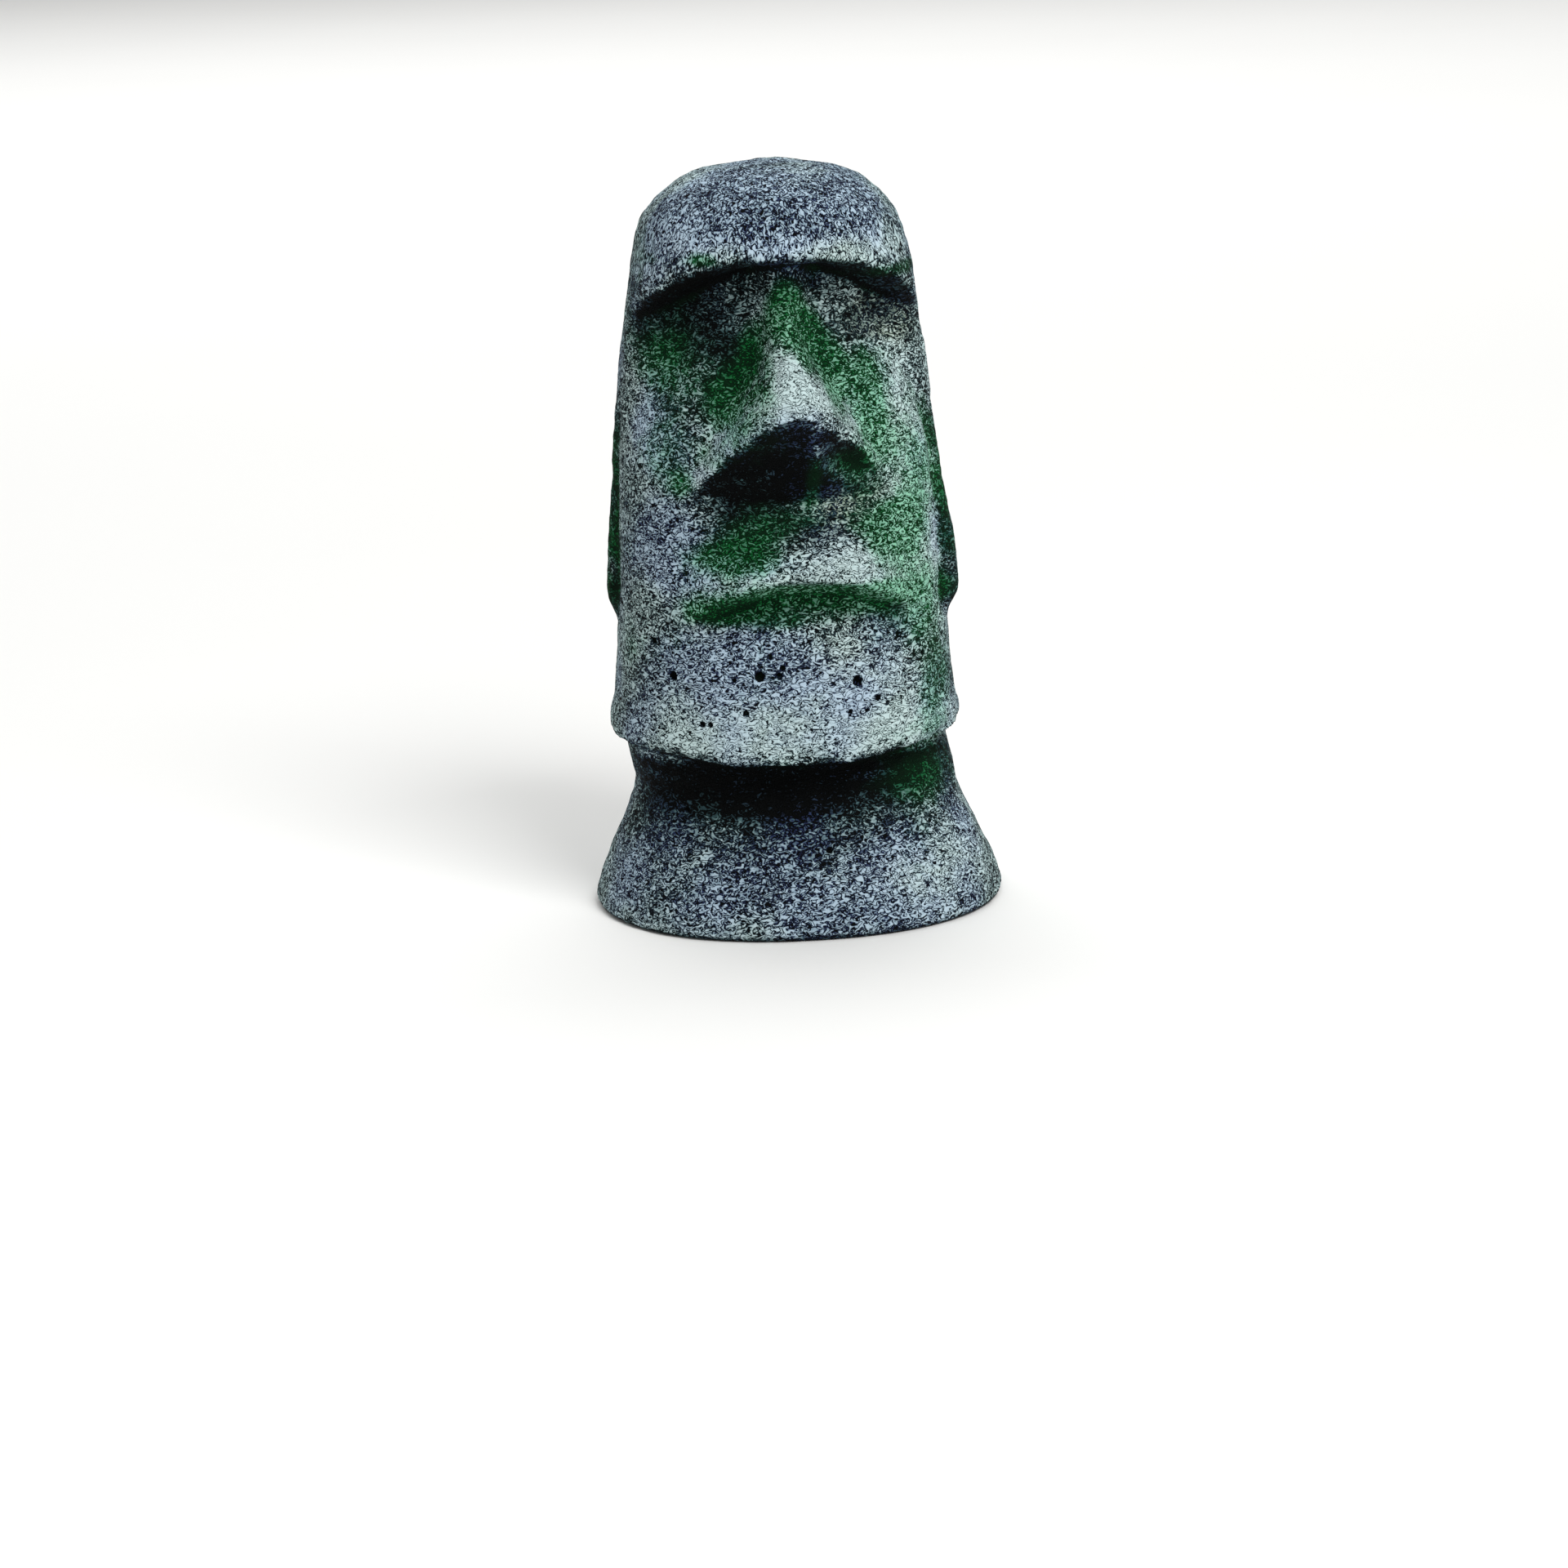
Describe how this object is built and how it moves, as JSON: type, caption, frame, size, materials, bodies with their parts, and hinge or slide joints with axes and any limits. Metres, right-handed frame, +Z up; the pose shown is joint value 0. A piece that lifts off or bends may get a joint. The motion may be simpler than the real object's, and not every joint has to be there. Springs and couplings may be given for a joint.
{
  "type": "moai head statue",
  "caption": "Upright stone-like head in the moai manner, with an overhanging brow, long nose, pressed lips and a flared neck on a flat underside.",
  "frame": {"origin": "on the flat underside, below the middle of the head", "axes": "+Z up; the face looks along -Y, and +X is at the right hand of someone who faces it"},
  "size_m": [0.0736, 0.0695, 0.1325],
  "materials": {
    "cast_stone": "rough cast, dark base coat dry-brushed in pale blue-grey with green in the hollows"
  },
  "bodies": {
    "root": {"moai_head": "cast_stone"}
  },
  "joints": []
}
